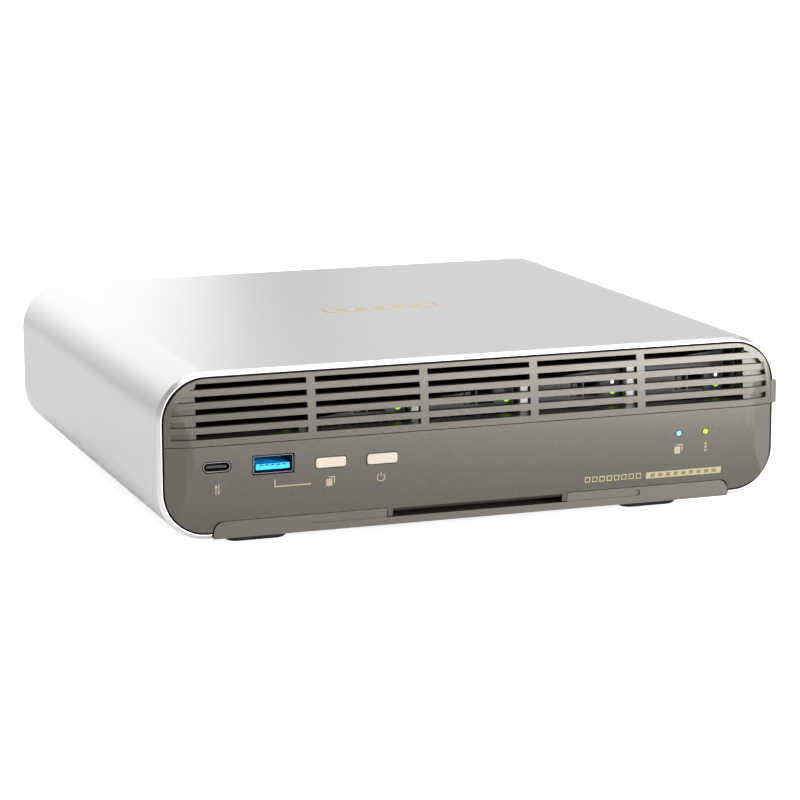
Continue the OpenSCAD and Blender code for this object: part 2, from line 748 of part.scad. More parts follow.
module mainboard_parts() {
    z = main_top;
    color(CHARCOAL) {
        // processor, memory and power parts
        block([-14, -14, z], [14, 14, z + 1.4]);
        for (x = [-52, -38], y = [-30, -16]) block([x, y, z], [x + 11, y + 9, z + 1.1]);
        for (i = [0:5]) block([26 + 8 * i, -22, z], [32 + 8 * i, -16, z + 3.2]);
        for (i = [0:2]) translate([72 + 8 * i, 44, z]) cylinder(r = 3, h = 7);
        // network chips and connectors
        block([-66, -57, z], [-42, -51, z + 3]);
        block([40, -60, z], [56, -44, z + 1.3]);
        block([-60, 50, z], [-48, 62, z + 1.5]);
        translate([-70, -20, z]) cylinder(r = 6, h = 6);
        for (x = [-88, 78]) block([x, 62, z], [x + 9, 67, z + 5]);
        // switch behind the reset pin
        block([reset_at[0] - 3, 86, z], [reset_at[0] + 3, rear_face - rear_t - 3.8, reset_at[1] + 3]);
    }
}

module cold_plate() {
    color([0.80, 0.48, 0.32]) block([-21, -21, main_top + 1.5], [21, 21, main_top + 4.4]);
}

module cpu_heatsink() {
    z0 = main_top + 4.5;
    z1 = cage_z0 - 2;
    fin = 0.85;
    count = 27;
    step = (84 - fin) / count;
    color(STEEL) {
        block([-42, -24, z0], [42, 24, z0 + 2.5]);
        for (i = [0:count])
            block([-42 + step * i, -24, z0 + 2.4], [-42 + step * i + fin, 24, z1]);
    }
}

module blower_housings() {
    hx = blower_size[0] / 2;
    hy = blower_size[1] / 2;
    color(RUBBER) for (x = [-blower_x, blower_x]) {
        difference() {
            block([x - hx, blower_y - hy, blower_z0], [x + hx, blower_y + hy, blower_z1]);
            translate([x, blower_y, blower_z0 + 1.2]) cylinder(r = wheel_r + 2.2, h = blower_z1 - blower_z0 - 2.4);
            translate([x, blower_y, blower_z0 - 1]) cylinder(r = wheel_r - 2.5, h = 4);
            // outlet towards the rear
            block([x - 20, blower_y, blower_z0 + 1.2], [x + 20, blower_y + hy + 1, blower_z1 - 1.2]);
        }
        // motor spindle, hanging from the housing's roof
        translate([x, blower_y, blower_z0 + 3.4]) cylinder(r = 1.5, h = blower_z1 - blower_z0 - 4.4);
    }
}

module impeller(x) {
    z0 = blower_z0 + 2;
    z1 = blower_z1 - 1.8;
    color(CHARCOAL) translate([x, blower_y, 0]) difference() {
        union() {
            translate([0, 0, z0 + 2]) cylinder(r = 10, h = z1 - z0 - 2);
            translate([0, 0, z1 - 1.2]) cylinder(r = wheel_r - 0.4, h = 1.2);
            for (i = [0:blade_count - 1])
                rotate([0, 0, 360 / blade_count * i]) translate([wheel_r - 6.5, 0, z0]) rotate([0, 0, 28])
                    cube([6.6, 0.8, z1 - z0]);
        }
        translate([0, 0, z0 + 1]) cylinder(r = 1.56, h = z1 - z0);
    }
}

module blower_leads() {
    r = 0.9;
    bend = 4;
    y = blower_y - blower_size[1] / 2 + 8;
    top = blower_z0 + 4;
    color(RUBBER) for (s = [-1, 1]) {
        x = s * (blower_x + blower_size[0] / 2);
        foot = s * (blower_x + blower_size[0] / 2 + 3 + bend);
        translate([x + s * 0.05, y, top]) rotate([0, s * 90, 0]) cylinder(r = r, h = 2.95);
        translate([x + s * 3, y, top - bend]) rotate([90, 0, s < 0 ? 180 : 0])
            rotate_extrude(angle = 90) translate([bend, 0]) circle(r = r);
        translate([foot, y, main_top + 0.3]) cylinder(r = r, h = top - bend - main_top - 0.3);
    }
}

module coin_cell() {
    color(SILVER) translate([-78, -40, main_top + 0.1]) cylinder(r = 10, h = 3.2);
}

// ---------- rear panel and sockets ----------

module rear_panel() {
    color(TAUPE) difference() {
        stand(rear_face - rear_t, rear_face) panel_outline();
        stand(rear_face - rear_t - 1, rear_face + 1) {
            for (x = jack_x)
                centred_rect([x, main_top + slack + jack_size[1] / 2], [jack_size[0] + 0.5, jack_size[1] + 0.5], 0.3);
            centred_rect([hdmi_x, main_top + slack + 2.8], [15.6, 6.2], 0.5);
            centred_rect([usb_c_rear_x, main_top + slack + 1.7], [9.6, 3.8], 1.8);
            for (x = usb_rear_x) centred_rect([x, main_top + slack + 2.9], [13.9, 6.4], 0.5);
            for (b = [-blower_x, blower_x], i = [-7:7])
                centred_rect([b + 3.6 * i, shell_z + 42], [1.8, 15], 0.89);
            centred_rect(lock_at, [3, 7], 0.6);
        }
        rod_y(dc_x, main_top + slack + 5.5, 4.4, rear_face - 3, rear_face + 1);
        rod_y(reset_at[0], reset_at[1], 1.1, rear_face - 3, rear_face + 1);
        for (at = rear_screw_at) rod_y(at[0], at[1], 1.6, rear_face - 3, rear_face + 1);
    }
}

module case_screws() {
    color(STEEL) for (at = rear_screw_at) difference() {
        union() {
            rod_y(at[0], at[1], 2.8, rear_face, rear_face + 1.3);
            rod_y(at[0], at[1], screw_r, rear_face - 6, rear_face + 0.1);
        }
        for (a = [0, 90])
            translate([at[0], rear_face + 1.3, at[1]]) rotate([0, a, 0])
                cube([2.6, 1.4, 0.6], center = true);
    }
}

module network_jacks() {
    z0 = main_top + slack;
    color(STEEL) for (x = jack_x) difference() {
        block([x - jack_size[0] / 2, socket_y - jack_size[2], z0],
              [x + jack_size[0] / 2, socket_y, z0 + jack_size[1]]);
        // plug cavity and latch groove
        block([x - 5.9, socket_y - 14, z0 + 3.6], [x + 5.9, socket_y + 1, z0 + 10.6]);
        block([x - 3.1, socket_y - 14, z0 + 1.9], [x + 3.1, socket_y + 1, z0 + 3.7]);
    }
}

module hdmi_socket() {
    at = [hdmi_x, main_top + slack + 2.8];
    color(STEEL) difference() {
        stand(socket_y - 11, socket_y) centred_rect(at, [15, 5.6], 0.5);
        stand(socket_y - 10.4, socket_y + 1)
            translate(at) polygon([[-7, 2.3], [7, 2.3], [7, -0.2], [5.2, -2.2], [-5.2, -2.2], [-7, -0.2]]);
    }
}

module usb_a_rear() {
    color(STEEL) for (x = usb_rear_x)
        sleeve([x, main_top + slack + 2.9], usb_a_size, 0.5, socket_y, 14, 1);
}

module usb_c_rear() {
    color(STEEL) sleeve([usb_c_rear_x, main_top + slack + 1.7], usb_c_size, 1.599, socket_y, 8.6, 1);
}

// Contact tongues of the sockets, apart from the blue one
module socket_tongues() {
    color(RUBBER) {
        stand(mouth_y + 0.7, mouth_y + 7.4) centred_rect(usb_c_at, [6.6, 0.75], 0.2);
        stand(mouth_y + 7, mouth_y + 7.9) stadium(usb_c_at, [7.8, 2]);
        for (x = usb_rear_x) {
            stand(socket_y - 13.3, socket_y - 0.8) centred_rect([x, main_top + slack + 3.9], [11.2, 1.9], 0.2);
            stand(socket_y - 13.5, socket_y - 12.5) centred_rect([x, main_top + slack + 2.9], [12, 4.6], 0.2);
        }
        stand(socket_y - 8.1, socket_y - 0.7) centred_rect([usb_c_rear_x, main_top + slack + 1.7], [6.6, 0.75], 0.2);
        stand(socket_y - 10.2, socket_y - 0.8) centred_rect([hdmi_x, main_top + slack + 3], [11, 1.4], 0.2);
        // contact blocks deep inside the network jacks
        for (x = jack_x)
            block([x - 4.2, socket_y - 13.8, main_top + slack + 9], [x + 4.2, socket_y - 10.6, main_top + slack + 10.5]);
    }
}

module dc_socket() {
    at = [dc_x, main_top + slack + 5.5];
    color(RUBBER) {
        difference() {
            union() {
                block([dc_x - 5.5, socket_y - 14, main_top + slack], [dc_x + 5.5, socket_y - 2, at[1] + 5.5]);
                rod_y(at[0], at[1], 4.2, socket_y - 3, socket_y);
            }
            rod_y(at[0], at[1], 3.1, socket_y - 10, socket_y + 1);
        }
        rod_y(at[0], at[1], 1.25, socket_y - 10.5, socket_y - 0.8);
    }
}

module reset_button() {
    color(STEEL) {
        rod_y(reset_at[0], reset_at[1], 0.9, rear_face - rear_t - 2.4, rear_face - rear_t - 0.1);
        rod_y(reset_at[0], reset_at[1], 1.8, rear_face - rear_t - 3, rear_face - rear_t - 2.2);
    }
}

// ---------- one line for each node ----------

outer_shell();
bottom_cover();
rubber_feet();
front_fascia();
front_frame();
front_io_boards();
usb_c_front();
usb_a_front();
usb_a_tongue();
socket_tongues();
tact_switches();
light_pipe(led_copy_at, [0.35, 0.7, 1]);  // light_pipe_copy
light_pipe(led_status_at, [0.55, 0.9, 0.2]);  // light_pipe_status
front_ribbon();
ssd_cage();
cage_dividers();
backplane_board();
drive_connectors();
mainboard();
mainboard_parts();
cold_plate();
cpu_heatsink();
blower_housings();
blower_leads();
rear_panel();
network_jacks();
hdmi_socket();
usb_a_rear();
usb_c_rear();
dc_socket();
coin_cell();
standoffs();
case_screws();
bay_cover();
cover_magnets();
button(copy_at);  // button_copy
button(power_at);  // button_power
reset_button();
impeller(-blower_x);  // impeller_left
impeller(blower_x);  // impeller_right
for (n = [1:bays]) {
    tray(n);
    tray_latch(n);
    ssd(n);
    tray_lights(n);
}
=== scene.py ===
import json
from math import cos, pi, radians, sin

import bmesh
import bpy
from mathutils import Matrix, Vector
from mathutils.bvhtree import BVHTree


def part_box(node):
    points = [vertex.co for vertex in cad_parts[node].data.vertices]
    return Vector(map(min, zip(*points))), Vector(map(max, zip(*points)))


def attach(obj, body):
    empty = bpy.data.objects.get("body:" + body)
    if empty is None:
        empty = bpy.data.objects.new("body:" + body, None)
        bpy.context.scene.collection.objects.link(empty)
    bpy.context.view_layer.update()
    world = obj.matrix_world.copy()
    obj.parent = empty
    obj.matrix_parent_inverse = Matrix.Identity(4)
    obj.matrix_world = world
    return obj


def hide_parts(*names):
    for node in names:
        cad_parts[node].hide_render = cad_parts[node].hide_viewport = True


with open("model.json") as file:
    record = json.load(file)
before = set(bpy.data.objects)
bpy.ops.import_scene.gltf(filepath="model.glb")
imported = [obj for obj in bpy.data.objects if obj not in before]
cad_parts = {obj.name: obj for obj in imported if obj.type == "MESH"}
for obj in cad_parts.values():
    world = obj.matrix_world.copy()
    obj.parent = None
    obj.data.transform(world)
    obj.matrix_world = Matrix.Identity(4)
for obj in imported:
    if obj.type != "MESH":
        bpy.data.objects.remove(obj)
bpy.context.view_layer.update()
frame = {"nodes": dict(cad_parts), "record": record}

# Looks of a low, wide storage box for solid-state drives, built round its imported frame.
# Lengths are in metres; MM turns a size in millimetres into metres.
MM = 0.001

record = frame["record"]
body_of = {node: body for body, nodes in record["behaviour"]["bodies"].items() for node in nodes}
bays = range(1, 6)

SHARP_EDGE = 30  # degrees; a sharper edge is rounded over
SAME_PLANE = 0.5  # degrees; faces closer than this are merged


# ---------------------------------------------------------------- helpers

def linear(code, alpha=1.0):
    """An sRGB hex colour as linear red, green, blue and alpha."""
    parts = [int(code[i:i + 2], 16) / 255 for i in (1, 3, 5)]
    return [p / 12.92 if p <= 0.04045 else ((p + 0.055) / 1.055) ** 2.4 for p in parts] + [alpha]


def add(tree, kind, inputs=None, **settings):
    """Adds a node to a tree: settings are its properties, inputs are links or values by socket."""
    made = tree.nodes.new(kind)
    for name, value in settings.items():
        setattr(made, name, value)
    for key, value in (inputs or {}).items():
        if isinstance(value, bpy.types.NodeSocket):
            tree.links.new(value, made.inputs[key])
        else:
            made.inputs[key].default_value = value
    return made


def finish(name, dark, light, rough, grain_mm, bump_mm, stretch=(1, 1, 1), drift_mm=60, **sockets):
    """A material whose colour runs from dark to light, with a roughness range and a fine grain."""
    made = bpy.data.materials.new(name)
    made.use_nodes = True
    tree = made.node_tree
    shader = tree.nodes["Principled BSDF"]
    place = add(tree, "ShaderNodeTexCoord").outputs["Object"]
    along = add(tree, "ShaderNodeMapping", {"Vector": place, "Scale": stretch}).outputs["Vector"]
    grain = add(tree, "ShaderNodeTexNoise", {"Vector": along, "Scale": 1 / (grain_mm * MM), "Detail": 3.0,
                                             "Roughness": 0.6}).outputs["Fac"]
    drift = add(tree, "ShaderNodeTexNoise", {"Vector": place, "Scale": 1 / (drift_mm * MM),
                                             "Detail": 1.0}).outputs["Fac"]
    mixed = add(tree, "ShaderNodeMix", {"Factor": 0.8, "A": drift, "B": grain}).outputs["Result"]
    colour = add(tree, "ShaderNodeValToRGB", {"Fac": mixed})
    for stop, position, code in zip(colour.color_ramp.elements, (0.35, 0.65), (dark, light)):
        stop.position = position
        stop.color = linear(code)
    matt = add(tree, "ShaderNodeMapRange", {"Value": mixed, "From Min": 0.35, "From Max": 0.65,
                                            "To Min": rough[0], "To Max": rough[1]})
    bump = add(tree, "ShaderNodeBump", {"Height": grain, "Strength": 1.0, "Distance": bump_mm * MM})
    tree.links.new(colour.outputs["Color"], shader.inputs["Base Color"])
    tree.links.new(matt.outputs["Result"], shader.inputs["Roughness"])
    tree.links.new(bump.outputs["Normal"], shader.inputs["Normal"])
    made.diffuse_color = linear(light)
    for socket, value in sockets.items():
        shader.inputs[socket.replace("_", " ")].default_value = value
    return made


def lit(name, dark, light, strength):
    """A small moulded light guide that glows."""
    made = finish(name, dark, light, (0.15, 0.3), 0.4, 0.01, drift_mm=2)
    shader = made.node_tree.nodes["Principled BSDF"]
    shader.inputs["Emission Color"].default_value = linear(light)
    shader.inputs["Emission Strength"].default_value = strength
    return made


def own(piece, node, material, hidden=()):
    """Joins a finished piece to the frame: its body, its finish and the CAD nodes that it stands for."""
    if material:
        piece.data.materials.clear()
        piece.data.materials.append(material)
    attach(piece, body_of[node])
    if hidden:
        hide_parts(*hidden)
    return piece


def mesh_piece(name, form):
    """An object made of a bmesh, which is freed."""
    data = bpy.data.meshes.new(name)
    form.to_mesh(data)
    form.free()
    piece = bpy.data.objects.new(name, data)
    bpy.context.scene.collection.objects.link(piece)
    return piece


def soften(piece, width_mm, segments):
    """Rounds a piece's sharp edges over and shades the rest smooth."""
    for face in piece.data.polygons:
        face.use_smooth = True
    piece.data.set_sharp_from_angle(angle=radians(SHARP_EDGE))
    bevel = piece.modifiers.new("edges", "BEVEL")
    bevel.width = width_mm * MM
    bevel.segments = segments
    bevel.limit_method = "ANGLE"
    bevel.angle_limit = radians(SHARP_EDGE)
    piece.modifiers.new("even_shading", "WEIGHTED_NORMAL").keep_sharp = True
    return piece


def crisp(node, material, edge_mm, segments):
    """A merged copy of a CAD node with rounded edges, in place of the node."""
    form = bmesh.new()
    form.from_mesh(frame["nodes"][node].data)
    bmesh.ops.remove_doubles(form, verts=form.verts, dist=0.001 * MM)
    bmesh.ops.dissolve_limit(form, angle_limit=radians(SAME_PLANE), verts=form.verts, edges=form.edges)
    piece = soften(mesh_piece(node + "_form", form), edge_mm, segments)
    return own(piece, node, material, [node])


def grow(name, sizes, build, material):
    """Runs a Geometry Nodes tree with named sizes and keeps its result as a plain mesh."""
    kinds = {int: "NodeSocketInt", float: "NodeSocketFloat", Vector: "NodeSocketVector"}
    tree = bpy.data.node_groups.new(name, "GeometryNodeTree")
    tree.interface.new_socket("Geometry", in_out="OUTPUT", socket_type="NodeSocketGeometry")
    for label, value in sizes.items():
        tree.interface.new_socket(label, in_out="INPUT", socket_type=kinds[type(value)])
    shape = build(tree, add(tree, "NodeGroupInput").outputs)
    real = add(tree, "GeometryNodeRealizeInstances", {"Geometry": shape})
    coated = add(tree, "GeometryNodeSetMaterial", {"Geometry": real.outputs["Geometry"],
                                                   "Material": material})
    add(tree, "NodeGroupOutput", {"Geometry": coated.outputs["Geometry"]})
    piece = mesh_piece(name, bmesh.new())
    modifier = piece.modifiers.new("build", "NODES")
    modifier.node_group = tree
    for item in tree.interface.items_tree:
        if item.in_out == "INPUT":
            modifier[item.identifier] = sizes[item.name]
    bpy.context.view_layer.update()
    result = bpy.data.meshes.new_from_object(piece.evaluated_get(bpy.context.evaluated_depsgraph_get()))
    piece.modifiers.remove(modifier)
    piece.data = result
    return piece


def row_of_blocks(tree, given):
    """Equal blocks along a line."""
    line = add(tree, "GeometryNodeMeshLine", {"Count": given["Count"], "Start Location": given["Start"],
                                              "Offset": given["Step"]})
    block = add(tree, "GeometryNodeMeshCube", {"Size": given["Block"]})
    return add(tree, "GeometryNodeInstanceOnPoints", {"Points": line.outputs["Mesh"],
                                                      "Instance": block.outputs["Mesh"]}).outputs["Instances"]


# ---------------------------------------------------------------- camera, light and floor

CAMERA_AT = Vector((-328.34, -956.615, 223.32)) * MM
YAW, PITCH, ROLL = radians(19.351), radians(10.99), radians(-0.267)
LENS = 129.79

ahead = Vector((sin(YAW) * cos(PITCH), cos(YAW) * cos(PITCH), -sin(PITCH)))
level = Vector((cos(YAW), -sin(YAW), 0))
above = level.cross(ahead)
right = level * cos(ROLL) + above * sin(ROLL)
top = above * cos(ROLL) - level * sin(ROLL)
camera = bpy.data.objects.new("camera", bpy.data.cameras.new("camera"))
camera.data.lens = LENS
camera.data.clip_start = 0.05
camera.matrix_world = Matrix.Translation(CAMERA_AT) @ Matrix((right, top, -ahead)).transposed().to_4x4()
bpy.context.scene.collection.objects.link(camera)
bpy.context.scene.camera = camera
bpy.context.scene.view_settings.view_transform = "Standard"


def softbox(name, place, aim, size, watts):
    """A large square white studio light at place, turned to face aim."""
    lamp = bpy.data.lights.new(name, "AREA")
    lamp.size = size
    lamp.energy = watts
    rig = bpy.data.objects.new(name, lamp)
    rig.location = place
    rig.rotation_euler = (Vector(aim) - Vector(place)).to_track_quat("-Z", "Y").to_euler()
    bpy.context.scene.collection.objects.link(rig)


softbox("overhead", (0.0, -0.1, 1.3), (0, 0, 0), 1.2, 13)
softbox("left", (-1.5, -0.5, 0.5), (0, 0, 0.03), 0.9, 1)
softbox("right", (1.4, 0.1, 0.25), (0, 0, 0.03), 0.9, 14)
softbox("back_right", (0.85, 1.6, 0.5), (0, 0, 0.05), 0.7, 1.25)
softbox("back_left", (-0.15, 1.7, 0.45), (0, 0, 0.05), 1.2, 6.5)
softbox("front_right", (1.05, -1.4, 0.4), (0.02, -0.1, 0.04), 0.6, 50)
softbox("front_fill", (-0.3, -1.3, 0.34), (0, -0.1, 0.04), 0.4, 5)

world = bpy.data.worlds.new("studio")
world.use_nodes = True
world.node_tree.nodes["Background"].inputs["Color"].default_value = linear("#FFFFFF")
world.node_tree.nodes["Background"].inputs["Strength"].default_value = 0.25
bpy.context.scene.world = world

# Seamless white paper under the box; it looks lit from behind, so that only contact shadows show
paper = finish("seamless_paper", "#F6F6F6", "#FAFAFA", (0.85, 0.95), 0.4, 0.01, drift_mm=120)
seen = add(paper.node_tree, "ShaderNodeLightPath").outputs["Is Camera Ray"]
paper.node_tree.links.new(seen, paper.node_tree.nodes["Principled BSDF"].inputs["Emission Strength"])
paper.node_tree.nodes["Principled BSDF"].inputs["Emission Color"].default_value = linear("#E6E6E6")
ground = bmesh.new()
bmesh.ops.create_grid(ground, x_segments=2, y_segments=2, size=6)
floor = mesh_piece("floor", ground)
floor.data.materials.append(paper)


# ---------------------------------------------------------------- materials

# Anodised aluminium, blasted with glass beads: a soft even sheen with a fine sparkle.
# The real grit is under 0.1 mm and is drawn at 0.35 mm, so that it shows.
blasted_aluminium = finish("bead_blasted_anodised_aluminium", "#D2D2D3", "#DCDCDD", (0.34, 0.42), 0.35, 0.006,
                           drift_mm=400, Metallic=1.0)
# Metallic lacquer: fine aluminium flake in taupe, so it is a little uneven and brightens at glancing angles.
taupe_lacquer = finish("taupe_metallic_lacquer", "#484641", "#57544E", (0.36, 0.46), 0.3, 0.010,
                       drift_mm=300, Metallic=0.75)
# The same lacquer on the stamped bottom cover, a shade lighter.
cover_lacquer = finish("taupe_lacquer_on_stamped_aluminium", "#494642", "#58544F", (0.38, 0.48), 0.3, 0.010,
                       drift_mm=300, Metallic=0.75)
# Moulded silicone rubber: matt, with a fine skin from the mould.
foot_rubber = finish("moulded_silicone_rubber", "#161616", "#222222", (0.75, 0.9), 0.5, 0.03)
# Powder coat on steel: black, slightly pebbled.
powder_coat = finish("black_powder_coat", "#0E0E0F", "#191919", (0.55, 0.7), 0.6, 0.03)
# Bright nickel on folded steel: drawn along the sleeve's length.
nickel_plate = finish("bright_nickel_plate", "#B9BABC", "#DADBDC", (0.18, 0.32), 0.12, 0.004,
                      stretch=(1, 0.06, 1), Metallic=1.0)
# Zinc-plated sheet: rolled along the case, with faint drawn lines.
zinc_sheet = finish("zinc_plated_sheet", "#9C9D9F", "#C9CACC", (0.28, 0.45), 0.3, 0.01,
                    stretch=(1, 0.08, 1), Metallic=1.0)
# The shells of the front sockets: a darker nickel, drawn along the sleeve's length.
dark_nickel = finish("dark_nickel_plate", "#5C5D5F", "#8E8F91", (0.22, 0.36), 0.12, 0.004,
                     stretch=(1, 0.06, 1), Metallic=1.0)
# PBT: blue, smooth and a little glossy.
blue_pbt = finish("blue_moulded_pbt", "#0E8CE6", "#22B4FF", (0.25, 0.4), 0.3, 0.005)
# Liquid-crystal polymer: the near-black inside of sockets.
black_lcp = finish("black_lcp_moulding", "#0D0D0E", "#191A1B", (0.4, 0.6), 0.3, 0.01)
# PBT with glass fibre: blower housings and wheels.
fan_pbt = finish("glass_filled_pbt", "#121314", "#1F2021", (0.45, 0.62), 0.7, 0.02)
# ABS with a spark-eroded texture: charcoal trays, coloured lighter than charcoal as painted light, standing
# in for the lamp light that hardly reaches into the slots.
tray_abs_painted_lighter = finish("textured_charcoal_abs_painted_lighter", "#545457", "#67676A", (0.5, 0.65), 0.3, 0.02)
# The latch and pads are the same plastic, polished, so they look lighter.
polished_abs = finish("polished_charcoal_abs", "#3A3A3D", "#48484B", (0.4, 0.55), 0.6, 0.006)
# Champagne lacquer on the two buttons.
champagne_lacquer = finish("champagne_metallic_lacquer", "#9C9084", "#B5AA9D", (0.32, 0.42), 0.25, 0.006,
                           Metallic=0.45, Coat_Weight=0.2, Coat_Roughness=0.2)
# Epoxy moulding compound: chips, coils and capacitors.
epoxy_package = finish("epoxy_packages", "#131416", "#222326", (0.45, 0.7), 1.2, 0.02)
# Machined copper: fly-cut lines across the plate.
copper = finish("fly_cut_copper", "#B06A45", "#D08C62", (0.25, 0.4), 0.25, 0.008,
                stretch=(1, 0.1, 1), Metallic=1.0)
# Extruded aluminium: die lines along the fins.
extruded_aluminium = finish("extruded_aluminium", "#B4B5B7", "#CFD0D1", (0.3, 0.45), 0.3, 0.01,
                            stretch=(1, 0.08, 1), Metallic=1.0)
# Turned brass: standoffs.
turned_brass = finish("turned_brass", "#A8873F", "#CBAA5C", (0.25, 0.38), 0.15, 0.006,
                      stretch=(1, 1, 0.1), Metallic=1.0)
# Nickel-plated screws and magnets.
screw_nickel = finish("nickel_plated_steel", "#98999B", "#BCBDBF", (0.25, 0.38), 0.2, 0.006, Metallic=1.0)
# Polished steel coin cell.
cell_steel = finish("polished_cell_steel", "#B5B6B8", "#D0D1D2", (0.15, 0.3), 0.25, 0.004, Metallic=1.0)
# Flat cable in pale grey PVC, with its cores pressed through.
ribbon_pvc = finish("grey_ribbon_pvc", "#B3B3AF", "#CBCBC7", (0.45, 0.6), 0.6, 0.04, stretch=(1, 0.02, 0.02))
# Dark anodised heat spreaders on the drives.
dark_anodised = finish("dark_anodised_aluminium", "#3A3C40", "#4F5156", (0.32, 0.45), 0.3, 0.008,
                       stretch=(1, 0.1, 1), Metallic=0.8)
# Pad-printed ink and gilt inlays.
gilt = finish("gilt_inlay", "#B79E63", "#D9C48C", (0.28, 0.4), 0.3, 0.004, Metallic=0.7)
gold_ink = finish("beige_gold_ink", "#7F7764", "#958B76", (0.4, 0.5), 0.3, 0.003, Metallic=0.3)
gilt_ink = finish("gilt_ink", "#877B58", "#A1956E", (0.35, 0.45), 0.3, 0.003, Metallic=0.3)
dark_ink = finish("taupe_ink", "#574F46", "#665D53", (0.5, 0.6), 0.3, 0.003)
gold_flash = finish("gold_flash_contacts", "#C79A3A", "#E6C069", (0.2, 0.32), 0.2, 0.003, Metallic=1.0)
# Polycarbonate light guides: the lit cores, then the smoked bodies round them.
lit_blue = lit("lit_blue_polycarbonate", "#4FA4F5", "#86C6FF", 0.5)
lit_green = lit("lit_green_polycarbonate", "#7CCB00", "#A0F010", 0.9)
lit_white = lit("lit_white_polycarbonate", "#E8F2FF", "#FFFFFF", 1.5)
blue_smoke = finish("smoked_blue_polycarbonate", "#12345C", "#1B4A80", (0.2, 0.35), 0.5, 0.005)
green_smoke = finish("smoked_green_polycarbonate", "#1C3A0C", "#2A5412", (0.2, 0.35), 0.5, 0.005)


def circuit_board():
    """Green solder mask over copper tracks 0.4 mm wide."""
    made = finish("green_solder_mask", "#0C3322", "#12452F", (0.3, 0.42), 0.4, 0.004)
    tree = made.node_tree
    shader = tree.nodes["Principled BSDF"]
    place = add(tree, "ShaderNodeTexCoord").outputs["Object"]
    tracks = add(tree, "ShaderNodeTexBrick", {
        "Vector": place, "Scale": 1.0, "Mortar Size": 0.25 * MM, "Mortar Smooth": 0.2,
        "Brick Width": 9 * MM, "Row Height": 1.6 * MM,
        "Color1": linear("#0E3B27"), "Color2": linear("#114731"), "Mortar": linear("#1E6647")})
    tree.links.new(tracks.outputs["Color"], shader.inputs["Base Color"])
    return made


solder_mask = circuit_board()


# ---------------------------------------------------------------- main covers

crisp("outer_shell", blasted_aluminium, 0.18, 3)
crisp("bottom_cover", cover_lacquer, 0.3, 3)
crisp("front_fascia", taupe_lacquer, 0.3, 3)
crisp("bay_cover", taupe_lacquer, 0.18, 2)
crisp("rear_panel", taupe_lacquer, 0.15, 2)
crisp("rubber_feet", foot_rubber, 0.5, 3)
# This bevel leaves a stray sheet across the frame's opening: a known fault.
crisp("front_frame", powder_coat, 0.15, 2)
for name in ("button_copy", "button_power"):
    crisp(name, champagne_lacquer, 0.35, 3)
for name in ("usb_c_front", "usb_a_front"):
    crisp(name, dark_nickel, 0.08, 2)
for name in ("usb_a_rear", "usb_c_rear", "hdmi_socket"):
    crisp(name, nickel_plate, 0.08, 2)
crisp("network_jacks", nickel_plate, 0.2, 2)
crisp("dc_socket", black_lcp, 0.15, 2)
crisp("ssd_cage", zinc_sheet, 0.12, 2)
crisp("cage_dividers", zinc_sheet, 0.12, 2)
crisp("case_screws", screw_nickel, 0.12, 2)
crisp("usb_a_tongue", blue_pbt, 0.1, 2)
for n in bays:
    # the trays' lighter colour is painted light for the dim slots
    crisp(f"tray_{n}", tray_abs_painted_lighter, 0.15, 2)
    crisp(f"tray_latch_{n}", polished_abs, 0.2, 2)
    crisp(f"ssd_{n}", dark_anodised, 0.1, 1)

# ---------------------------------------------------------------- printed marks, all without letters

def block_shape(x0, z0, x1, z1):
    """A rectangle as one outline."""
    return [[(x0, z0), (x1, z0), (x1, z1), (x0, z1)]]


def outline_shape(x0, z0, x1, z1, line):
    """The outline of a rectangle, as four bars."""
    return (block_shape(x0, z0, x1, z0 + line) + block_shape(x0, z1 - line, x1, z1)
            + block_shape(x0, z0 + line, x0 + line, z1 - line)
            + block_shape(x1 - line, z0 + line, x1, z1 - line))


def arc_shape(radius, line, start, end, steps=20):
    """Part of a ring round the origin, from start to end in degrees."""
    turns = [radians(start + (end - start) * i / steps) for i in range(steps + 1)]
    return [[(r * cos(a), r * sin(a)) for a, r in ((t0, radius), (t1, radius), (t1, radius + line),
                                                   (t0, radius + line))] for t0, t1 in zip(turns, turns[1:])]


def moved(shape, x, z):
    """The outlines of a shape, moved."""
    return [[(x + u, z + v) for u, v in outline] for outline in shape]


def printed(name, node, shape, place, material, lift_mm=0.03):
    """Thin prisms on a surface, one for each outline; place gives the point and normal at u, v in mm."""
    form = bmesh.new()
    for outline in shape:
        spots = [place(u, v) for u, v in outline]
        outer = [form.verts.new(point + normal * lift_mm * MM) for point, normal in spots]
        inner = [form.verts.new(point - normal * 0.05 * MM) for point, normal in spots]
        form.faces.new(outer)
        form.faces.new(inner[::-1])
        for k in range(len(outline)):
            form.faces.new((outer[k - 1], inner[k - 1], inner[k], outer[k]))
    bmesh.ops.recalc_face_normals(form, faces=form.faces)
    return own(mesh_piece(name, form), node, material)


fascia = frame["nodes"]["front_fascia"].data
fascia_tree = BVHTree.FromPolygons([v.co for v in fascia.vertices], [p.vertices for p in fascia.polygons])
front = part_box("front_fascia")[0].y
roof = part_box("outer_shell")[1].z


def on_fascia(x, z):
    """The point and normal on the fascia's face, from x and the height above the floor in mm."""
    point, normal, _, _ = fascia_tree.ray_cast(Vector((x * MM, front - MM, z * MM)), Vector((0, 1, 0)))
    return point, normal


def on_roof(x, y):
    """The point and normal on top of the shell."""
    return Vector((x * MM, y * MM, roof - 0.02 * MM)), Vector((0, 0, 1))


